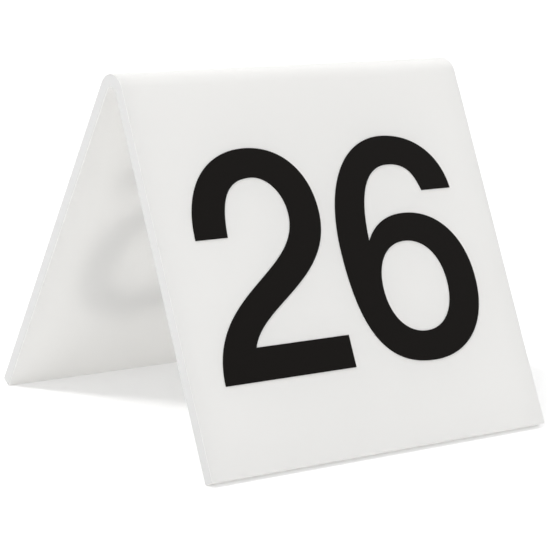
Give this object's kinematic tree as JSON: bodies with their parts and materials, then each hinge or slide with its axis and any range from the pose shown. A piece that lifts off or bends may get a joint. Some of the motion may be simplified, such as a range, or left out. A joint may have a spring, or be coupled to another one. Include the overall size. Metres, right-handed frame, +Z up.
{
  "type": "table number tent",
  "caption": "Free-standing table number: one sheet of white translucent acrylic folded into a tent, with black film numerals on both outer faces.",
  "frame": {"origin": "on the table, in the middle of the footprint, straight under the ridge", "axes": "+X along the ridge, -Y towards the front leg, +Z up"},
  "size_m": [0.076, 0.0716, 0.0653],
  "materials": {
    "white_acrylic": "translucent white cast acrylic, soft gloss faces and polished cut edges",
    "black_film": "satin black adhesive film"
  },
  "bodies": {
    "root": {"tent_sheet": "white_acrylic", "front_numeral_two": "black_film", "front_numeral_six": "black_film", "rear_numeral_two": "black_film", "rear_numeral_six": "black_film"}
  },
  "joints": []
}
